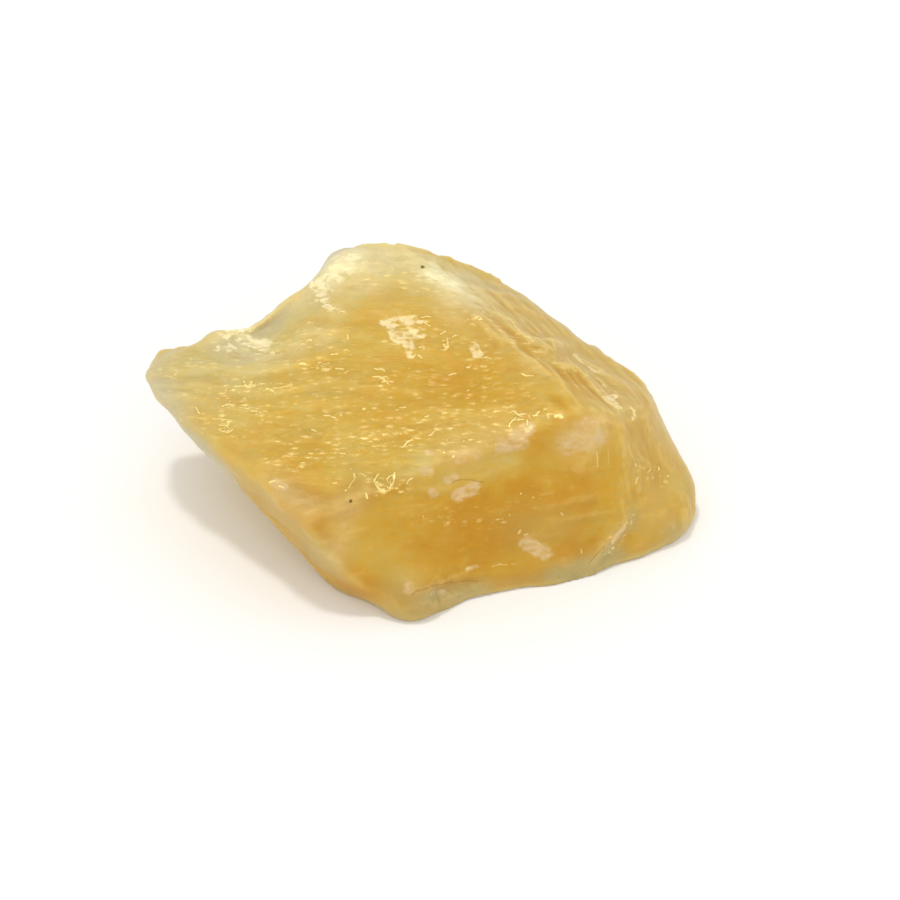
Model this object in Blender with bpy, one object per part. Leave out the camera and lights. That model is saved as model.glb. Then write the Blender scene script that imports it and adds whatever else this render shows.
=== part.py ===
"""Raw honey calcite: one rough cleavage chunk that lies on a flat cleavage face.

The stone is one solid. Its surface is worked out along rays from a core point inside it. Each ray
first runs to the nearest of the cleavage and fracture planes, with the edges between them softened.
The surface there is then raised or cut back by what the break left on it: knobs and nicks along the
edges, folds on the shoulder, hollows on the front, terraces and a fibrous grain on the top.
"""

import math

import bmesh
import bpy
import numpy as np
from mathutils import Vector, noise

MM = 0.001

# Driving dimensions, in millimetres and degrees. Places are measured from the foot of the core point.
CORE_HEIGHT = 9.0  # of the point that every plane's reach is measured from, above the resting face
EDGE_SHARPNESS = 34.0  # an edge between two planes is softened by about 1/34 of its reach
RAY_LEVELS = 7  # subdivisions of the icosphere whose corners give the rays
SHARP_EDGE = 38.0  # two facets that meet at more than this angle show an edge between them
FLAT_WITHIN = 0.02  # a corner this close to the ground belongs to the flat resting face
SOLID_TRIANGLES = 9800  # what the finished solid is thinned to
CORNER_CUTS = 3  # times each fold's path has its corners cut, so that it runs as a curve

# Every plane that bounds the stone: the way it faces (azimuth from +X towards +Y, then elevation
# above the horizon) and its reach from the core.
PLANES = {
    "top_cleavage": (-110.0, 74.0, 10.1),
    "front_cleavage": (-73.0, 17.0, 15.4),
    "right_cleavage": (-40.0, 14.0, 21.6),
    "right_end": (8.0, 16.5, 25.0),
    "right_toe": (-10.0, 4.5, 32.7),
    "shoulder": (19.0, 66.5, 14.2),
    "back": (56.0, 6.0, 17.7),
    "back_crest": (95.5, 17.0, 18.8),
    "back_left": (126.0, 22.5, 20.0),
    "left_bevel": (-138.5, -18.0, 19.8),
    "left_undercut": (-168.5, -45.5, 15.5),
    "under_front": (-114.5, -30.0, 20.4),
    "resting": (0.0, -90.0, 9.45),
}

# Knobs stand proud and nicks are cut back: (place, width, height), a nick's height being negative.
KNOBS = {
    "left_nose": ((-27.5, 3.8, 14.3), 2.4, 2.3),
    "left_bump": ((-22.6, 6.3, 16.7), 1.9, 1.3),
    "left_nick": ((-17.2, 5.9, 19.6), 4.1, -1.9),
    "corner_step": ((-11.5, 9.2, 19.4), 2.2, -0.9),
    "back_corner": ((-8.2, 14.4, 19.2), 3.1, 2.5),
    "right_brow": ((17.7, 3.8, 16.6), 3.5, -0.8),
    "front_foot_tip": ((-0.5, -18.9, 2.9), 3.4, 2.3),
    "front_foot_nick": ((10.4, -19.6, -1.1), 4.5, -1.1),
    "front_hollow": ((6.0, -15.0, 7.0), 6.5, -0.9),
    "front_upper_hollow": ((12.5, -11.5, 14.0), 3.6, -0.5),
    "front_milky_swell": ((17.8, -8.8, 16.5), 3.0, 0.5),
    "front_left_swell": ((-6.0, -18.5, 9.0), 4.0, 0.5),
    "edge_scallop_left": ((-8.5, -16.0, 14.2), 2.2, -0.5),
    "edge_scallop_middle": ((-3.0, -15.4, 14.7), 2.0, -0.6),
    "edge_scallop_right": ((2.6, -14.4, 15.2), 2.0, -0.5),
    "edge_scallop_high": ((9.0, -12.4, 16.4), 2.4, -0.5),
    "right_toe_swell": ((25.9, -5.6, 2.5), 5.1, 2.8),
    "right_heel_nick": ((20.6, -13.8, 0.9), 3.1, -0.5),
    "back_hollow": ((12.0, 15.0, 9.0), 7.5, -1.5),
    "back_left_hollow": ((-14.0, 9.0, 9.0), 6.5, -1.2),
    "top_pool": ((4.0, -1.5, 20.0), 9.0, -0.5),
}

# Folds are soft ridges, and the groove a line cut back: (width, height, the points it runs through).
FOLDS = {
    "ridge_fold": (0.9, 0.45, ((5.9, 4.8, 20.8), (7.0, 3.6, 20.5), (9.1, 0.9, 20.1))),
    "crest_fold": (0.8, 0.5, ((8.1, 6.6, 20.3), (10.9, 3.4, 19.8), (12.4, 1.8, 19.5), (16.2, 5.6, 16.4))),
    "lap_fold": (0.7, 0.4, ((12.7, 0.5, 19.5), (14.6, 3.0, 17.8), (16.6, 5.0, 16.0))),
    "inner_fold": (0.8, 0.5, ((10.8, -1.4, 19.9), (14.1, -3.4, 19.4), (15.0, -5.5, 19.0), (16.2, -8.5, 19))),
    "brow_fold": (0.8, 0.4, ((12.2, -6.9, 19.0), (13.6, -8.1, 18.9), (14.9, -9.1, 18.5))),
    "outer_fold": (0.8, 0.6, ((16.6, 4.3, 16.1), (18.5, 1.6, 16.2), (21.6, 0.4, 15.0), (22.6, -2.0, 15.0))),
    "short_fold": (0.7, 0.45, ((15.2, -0.8, 18.5), (17.0, -0.6, 17.4), (19.2, -3.5, 16.7))),
    "front_seam": (0.8, 0.35, ((0.0, -16.5, 14.0), (4.8, -14.6, 14.0), (10.5, -12.5, 14.5))),
    "right_corner": (1.2, 0.45, ((20.8, -7.0, 16.0), (21.6, -9.0, 11.0), (21.2, -10.5, 5.4))),
    "foot_streak": (0.9, 0.5, ((21.2, -10.5, 5.4), (19.6, -12.0, 3.6), (17.9, -13.5, 1.9))),
    "foot_groove": (0.7, -0.45, ((0.9, -18.9, 2.9), (3.5, -17.7, 2.4), (6.0, -16.5, 1.9))),
}

# The break's own texture. The swell is the waviness of every broken face and the chips its small
# pits. Ledges are cleavage layers that end one behind the other. The grain is the run of fibres
# across the top, nearly along X, and the striae the upright lines of the right-hand face.
SWELL_LENGTH, SWELL_HEIGHT = 9.0, 0.5
CHIP_LENGTH, CHIP_HEIGHT = 2.8, 0.22
LEDGE_SPACING, LEDGE_STEP, LEDGE_LENGTH, LEDGE_WANDER = 3.4, 0.42, 13.0, 1.3
GRAIN_TURN = -4.0
GRAIN_LENGTH, GRAIN_WIDTH, GRAIN_HEIGHT = 9.0, 2.0, 0.2
STRIA_LENGTH, STRIA_WIDTH, STRIA_HEIGHT = 14.0, 2.2, 0.45


def facing(azimuth, elevation):
    """The unit vector that faces this way."""
    turn = math.radians(azimuth)
    rise = math.radians(elevation)
    return np.array([math.cos(turn) * math.cos(rise), math.sin(turn) * math.cos(rise), math.sin(rise)])


def cleaved_block(rays):
    """Where each ray leaves the softened planes, the way the surface faces there, and how much of
    each plane it has, by the plane's name."""
    nearness = np.zeros(len(rays))
    lean = np.zeros((len(rays), 3))
    shares = {}
    for name, (azimuth, elevation, reach) in PLANES.items():
        normal = facing(azimuth, elevation)
        share = np.clip(rays @ normal / reach, 0.0, None) ** EDGE_SHARPNESS
        nearness += share
        lean += share[:, None] * normal
        shares[name] = share
    points = rays * nearness[:, None] ** (-1.0 / EDGE_SHARPNESS)
    points[:, 2] += CORE_HEIGHT
    normals = lean / np.linalg.norm(lean, axis=1)[:, None]
    return points, normals, {name: share / nearness for name, share in shares.items()}


def noise_field(points, lengths, seed):
    """Smooth noise between about -1 and 1 that changes over these lengths along X, Y and Z."""
    offset = Vector((seed, 2.0 * seed, 3.0 * seed))
    return np.array([noise.noise(Vector(place) + offset) for place in points / np.array(lengths)])


def knob_relief(points):
    """How far the knobs raise the surface, and the nicks cut it back."""
    relief = np.zeros(len(points))
    for place, width, height in KNOBS.values():
        away = np.linalg.norm(points - np.array(place), axis=1)
        relief += height * np.exp(-((away / width) ** 2))
    return relief


def softened_path(corners):
    """Closely spaced points along a curve that cuts the corners of this path."""
    path = np.array(corners)
    for _ in range(CORNER_CUTS):
        first_quarters = 0.75 * path[:-1] + 0.25 * path[1:]
        last_quarters = 0.25 * path[:-1] + 0.75 * path[1:]
        between = np.stack([first_quarters, last_quarters], axis=1).reshape(-1, 3)
        path = np.vstack([path[:1], between, path[-1:]])
    return path


def fold_relief(points):
    """How far the folds raise the surface: each is a soft ridge that dies away at both ends."""
    relief = np.zeros(len(points))
    for width, height, corners in FOLDS.values():
        path = softened_path(corners)
        tapers = np.sqrt(np.sin(np.linspace(0.05, 0.95, len(path)) * math.pi))
        closeness = np.zeros(len(points))
        for place, taper in zip(path, tapers):
            away = np.linalg.norm(points - place, axis=1)
            closeness = np.maximum(closeness, taper * np.exp(-((away / width) ** 2)))
        relief += height * closeness
    return relief


def along_grain(points):
    """The points in axes where the first runs along the fibres."""
    turn = math.radians(GRAIN_TURN)
    along = points[:, 0] * math.cos(turn) + points[:, 1] * math.sin(turn)
    across = points[:, 1] * math.cos(turn) - points[:, 0] * math.sin(turn)
    return np.column_stack([along, across, points[:, 2]])


def ledge_relief(grained, axis):
    """Treads that lean a little with a short riser between two, stacked along this axis."""
    ledge_size = (LEDGE_LENGTH, 0.5 * LEDGE_LENGTH, 0.5 * LEDGE_LENGTH)
    wander = LEDGE_WANDER * noise_field(grained, ledge_size, 5.0)
    part_way = np.mod(grained[:, axis] / LEDGE_SPACING + wander, 1.0)
    riser = np.clip((part_way - 0.7) / 0.3, 0.0, 1.0)
    tread = 0.5 - part_way + riser * riser * (3.0 - 2.0 * riser)
    presence = np.clip(0.4 + 1.6 * noise_field(grained, [LEDGE_LENGTH] * 3, 7.0), 0.0, 1.0)
    return LEDGE_STEP * presence * tread


def texture_relief(points, shares):
    """What the break's own texture adds: swell and chips all over, and what each face has besides."""
    on_top = shares["top_cleavage"] + 0.6 * shares["shoulder"]
    on_sides = 1.0 - shares["top_cleavage"] - shares["shoulder"] - shares["resting"]
    on_right = shares["right_cleavage"] + shares["right_toe"]
    grained = along_grain(points)
    relief = SWELL_HEIGHT * noise_field(points, [SWELL_LENGTH] * 3, 1.0)
    relief += CHIP_HEIGHT * (1.0 - 0.7 * on_top) * noise_field(points, [CHIP_LENGTH] * 3, 2.0)
    relief += on_top * GRAIN_HEIGHT * noise_field(grained, (GRAIN_LENGTH, GRAIN_WIDTH, GRAIN_WIDTH), 3.0)
    relief += on_right * STRIA_HEIGHT * noise_field(points, (STRIA_WIDTH, STRIA_WIDTH, STRIA_LENGTH), 4.0)
    return relief + on_top * ledge_relief(grained, 1) + on_sides * ledge_relief(grained, 2)


def thinned(mesh, triangles):
    """A copy of the mesh with about this many triangles, kept where the surface bends most."""
    helper = bpy.data.objects.new("thinning", mesh)
    bpy.context.scene.collection.objects.link(helper)
    thinning = helper.modifiers.new("Thin", "DECIMATE")
    thinning.ratio = triangles / len(mesh.polygons)
    finished = helper.evaluated_get(bpy.context.evaluated_depsgraph_get())
    result = bpy.data.meshes.new_from_object(finished)
    bpy.data.objects.remove(helper)
    return result


def settled(mesh):
    """Moves the mesh so that the middle of its footprint is the origin and its flat face is at Z = 0."""
    places = np.array([corner.co for corner in mesh.vertices])
    middle = (places.max(axis=0) + places.min(axis=0)) / 2.0
    for corner in mesh.vertices:
        flat = abs(corner.co.z) < FLAT_WITHIN * MM
        corner.co = (corner.co.x - middle[0], corner.co.y - middle[1], 0.0 if flat else corner.co.z)
    return mesh


def honey_calcite():
    """Calcite coloured by iron: a waxy, translucent honey yellow."""
    material = bpy.data.materials.new("honey calcite")
    material.use_nodes = True
    surface = material.node_tree.nodes["Principled BSDF"]
    surface.inputs["Base Color"].default_value = (0.62, 0.37, 0.09, 1.0)
    surface.inputs["Roughness"].default_value = 0.38
    surface.inputs["Metallic"].default_value = 0.0
    return material


def make_stone():
    """The calcite piece, as one closed body."""
    shape = bmesh.new()
    bmesh.ops.create_icosphere(shape, subdivisions=RAY_LEVELS, radius=1.0)
    rays = np.array([corner.co for corner in shape.verts])
    points, normals, shares = cleaved_block(rays)
    relief = knob_relief(points) + fold_relief(points) + texture_relief(points, shares)
    points += normals * relief[:, None]
    points[:, 2] = np.maximum(points[:, 2], 0.0)
    for corner, point in zip(shape.verts, points):
        corner.co = Vector(point) * MM
    mesh = bpy.data.meshes.new("calcite_rays")
    shape.to_mesh(mesh)
    shape.free()
    skin = settled(thinned(mesh, SOLID_TRIANGLES))
    skin.shade_smooth()
    skin.set_sharp_from_angle(angle=math.radians(SHARP_EDGE))
    skin.materials.append(honey_calcite())
    stone = bpy.data.objects.new("calcite_piece", skin)
    bpy.context.scene.collection.objects.link(stone)
    return stone


def main():
    for old in list(bpy.data.objects):
        bpy.data.objects.remove(old)
    make_stone()


main()
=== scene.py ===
"""A raw piece of honey calcite lying on a pale table, in soft studio light."""

import math

import bmesh
import bpy
import numpy as np
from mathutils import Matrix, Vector


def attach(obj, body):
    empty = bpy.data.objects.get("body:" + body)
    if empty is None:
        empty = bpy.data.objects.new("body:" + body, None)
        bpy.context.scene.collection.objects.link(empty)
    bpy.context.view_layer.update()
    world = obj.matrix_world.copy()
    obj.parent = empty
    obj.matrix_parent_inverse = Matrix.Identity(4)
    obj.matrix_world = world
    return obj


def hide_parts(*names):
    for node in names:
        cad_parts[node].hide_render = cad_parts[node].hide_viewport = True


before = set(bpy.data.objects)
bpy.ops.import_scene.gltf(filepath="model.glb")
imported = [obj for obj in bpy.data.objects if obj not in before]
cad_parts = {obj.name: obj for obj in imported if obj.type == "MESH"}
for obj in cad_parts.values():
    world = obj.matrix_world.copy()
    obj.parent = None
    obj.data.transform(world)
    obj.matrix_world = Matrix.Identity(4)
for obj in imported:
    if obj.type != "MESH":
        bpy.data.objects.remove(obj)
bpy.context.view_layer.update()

MM = 0.001
TINY = 1e-9

# ---------------- sizes, in millimetres and degrees

VOXEL = 0.27  # of the fine skin: the smallest ledge it can hold is about two of these
SAME_CORNER = 0.002  # corners of the solid's loose triangles this close together are one
SMOOTHING_ROUNDS = 6
GRAIN_TURN = -4.0  # the fibres of the top run nearly along X

# Ledges: the way they follow one another, how far apart they are, and how high each steps.
LEDGES = {"top": ("Y", 2.2, 0.05), "back": ("Z", 3.4, 0.36)}
LEDGE_BENDS = (7.0, 2.6, 2.6)  # how long their bends are, along the grain and across it
LEDGE_SWAY = 3.2  # how many spacings the strongest bend carries them aside
LEDGE_RISER = 0.16  # the share of each spacing that the riser takes up
LEDGE_SHOWS = (0.42, 0.58)  # the levels of noise at which a ledge starts to show and is whole


def facing(azimuth, elevation):
    """The unit vector that faces this way."""
    turn, rise = math.radians(azimuth), math.radians(elevation)
    return Vector((math.cos(turn) * math.cos(rise), math.sin(turn) * math.cos(rise), math.sin(rise)))


# The way each face looks, and how closely the skin agrees with it where the face starts and where it
# is whole.
FACES = {
    "top": (facing(-110.0, 74.0), 0.82, 0.94),
    "shoulder": (facing(19.0, 66.5), 0.90, 0.97),
    "front": (facing(-73.0, 17.0), 0.80, 0.94),
    "right": (facing(-32.0, 12.0), 0.86, 0.96),
    "back": (facing(85.0, 10.0), 0.35, 0.70),
}

# Layers of fine relief: the face each lies on, how its axes are turned about X, Y and Z, how long its
# waves are along those axes and how high, and how much each wave is drawn to a crest.
LAYERS = {
    "Top Swell": ("top", (0.0, 0.0, GRAIN_TURN), (3.6, 2.8, 2.8), 0.09, 0.0),
    "Fibres": ("top", (0.0, 0.0, GRAIN_TURN), (1.7, 0.9, 0.9), 0.035, 0.6),
    "Fine Fibres": ("top", (0.0, 0.0, GRAIN_TURN - 3.0), (1.2, 0.5, 0.5), 0.035, 0.5),
    "Drapery": ("shoulder", (0.0, 8.5, -51.0), (6.0, 1.4, 1.4), 0.23, 0.8),
    "Front Swell": ("front", (0.0, 0.0, 0.0), (3.5, 3.5, 2.8), 0.16, 0.0),
    "Front Lines": ("front", (0.0, 4.0, 17.0), (7.0, 7.0, 0.8), 0.03, 1.0),
    "Right Folds": ("right", (0.0, 0.0, 0.0), (2.0, 2.0, 9.0), 0.16, 0.5),
    "Right Striae": ("right", (0.0, 0.0, 0.0), (0.9, 0.9, 6.0), 0.10, 1.0),
    "Back Breaks": ("back", (0.0, 6.0, 0.0), (6.0, 6.0, 1.8), 0.08, 0.2),
    "Chips": ("all", (0.0, 0.0, 0.0), (1.9, 1.9, 1.9), 0.06, 0.3),
    "Grit": ("all", (0.0, 0.0, 0.0), (0.8, 0.8, 0.8), 0.03, 0.0),
}
CREST_SLOPE, CREST_TOP = 2.4, 0.6  # how steeply a crest falls off, and how high it stands

# Rounds of evening out: of the way the skin faces, before it is raised; then of the raised skin, to
# find its crests, the swell under them, the face each place belongs to, and the edges of the stone.
SKIN_ROUNDS, CREST_ROUNDS, SWELL_ROUNDS, FACE_ROUNDS, EDGE_ROUNDS = 10, 14, 10, 20, 4
CREST_HEIGHT = 0.04  # what stands this far out of its surroundings counts as a full crest
SWELL_TAKEN = 0.8  # how much of the swell is taken off the crests
# The mean of the normals round a place is short on an edge, up to the first length, and long on a
# flat, from this much more.
FLAT_FROM, FLAT_OVER = 0.90, 0.07

# Stains of iron, from cream to deep amber. The other tones lie over them in this order. Among them
# are painted highlights: the gold glints of the steps of the grain, with their halos and crumbs, and
# the paler worn crests and edges. There is also painted shade: the darker tone beside some steps, and
# grey, which along the foot and the bottom rims is painted shade and elsewhere thin clear stone.
IRON_COLOURS = {0.0: "#cfc292", 0.25: "#d0bc76", 0.5: "#cdac50", 0.75: "#cca034", 1.0: "#c48f1c"}
TONES = {
    "warm": "#cc9440", "peach": "#ccae6c", "grey": "#b8a46c", "haze": "#ece2b6", "crest wear and highlight": "#e6cb88",
    "edge": "#e6cb88", "thin": "#c6bc9c", "chalk": "#dabd8c", "milk": "#efdcaa", "flakes": "#fbf0c6",
    "dash shadow": "#b08a34", "step shade fringe": "#b08a34", "step dark": "#a4742c", "crumb": "#ffe99e",
    "dash halo": "#ffe99e", "bright": "#ffe99e",
}
SOOT = "#3a2c14"

# What each face has of its own: its iron, from 0 (cream) to 1 (deep amber), and upright striae.
OF_FACE = {
    "iron": {"top": 0.54, "shoulder": 0.42, "front": 0.82, "right": 0.64, "back": 0.53, "other": 0.49},
    "striae": {"right": 1.0},
}

# Noise through the stone: how long its lumps are, along the grain and across it, and how many octaves
# it has. FREE_NOISE takes no notice of the grain. A broken face is rough down to hundredths of a
# millimetre, and "dust", drawn as coarse as it has to be to show, stands for all that.
GRAIN_NOISE = {
    "clouds": ((5.0, 3.6, 3.6), 2.0),
    "streaks": ((2.6, 1.4, 1.4), 2.0),
    "motes": ((0.9, 0.55, 0.55), 3.0),
    "wisps": ((2.2, 1.0, 1.0), 4.0),
    "bruise edge": ((1.0, 0.6, 0.6), 5.0),
    "clusters": ((3.2, 1.4, 1.4), 2.0),
    "wobble": ((0.6, 0.4, 0.4), 2.0),
    "flake wobble": ((1.2, 0.8, 0.8), 2.0),
    "fine steps": ((0.9, 0.35, 0.35), 2.0),
    "grit": ((0.45, 0.3, 0.3), 2.0),
    "dust": ((0.24, 0.16, 0.16), 2.0),
}
FREE_NOISE = {
    "warmth": ((4.0, 2.5, 2.5), 3.0),
    "lace": ((1.0, 0.6, 0.6), 4.0),
    "breaks": ((1.3, 0.8, 0.8), 2.0),
    "upright": ((1.0, 1.0, 4.0), 3.0),
}
# Cells with wandering edges: the noise that shakes them, by how much along and across the grain, and
# how large they are. Shards vary the tone and splinters break up the glassy flakes. A dash or a
# crumb is a painted glint: a step of the grain painted as if it caught the light, a painted highlight.
CELLS = {
    "shard": ("flake wobble", (1.35, 0.72, 0.72), (1.5, 0.8, 0.8)),
    "dash": ("wobble", (0.9, 0.42, 0.42), (1.4, 0.5, 0.5)),
    "crumb": ("wobble", (0.9, 0.42, 0.42), (0.8, 0.55, 0.55)),
    "splinter": ("flake wobble", (0.9, 0.6, 0.6), (0.8, 0.45, 0.45)),
}
LOOP_SIZE = (1.5, 0.6, 0.6)  # of the closed loops that some of the steps make
STEP_WOBBLE = 1.6  # the whole swing of a drawn step from side to side, in halves of its width
SPECK_WOBBLE = 0.35  # the same of a dark speck
STEP_ROUGHNESS = 0.16
BUMP_DEPTH = 0.09
GLOW_DEPTH = 2.0  # how far light goes into the stone

# Marks of these kinds add up where they meet. Of the other kinds, the strongest shows.
ADDING_UP = ("iron", "haze", "grey", "peach")
STRONGEST = 1.5  # marks are held to this where they meet
LEFT_BROW = ((-14.2, -16.5, 13.8), (-12.0, -18.2, 13.6), (-8.9, -18.3, 13.7), (-6.1, -17.6, 14.2))
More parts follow.
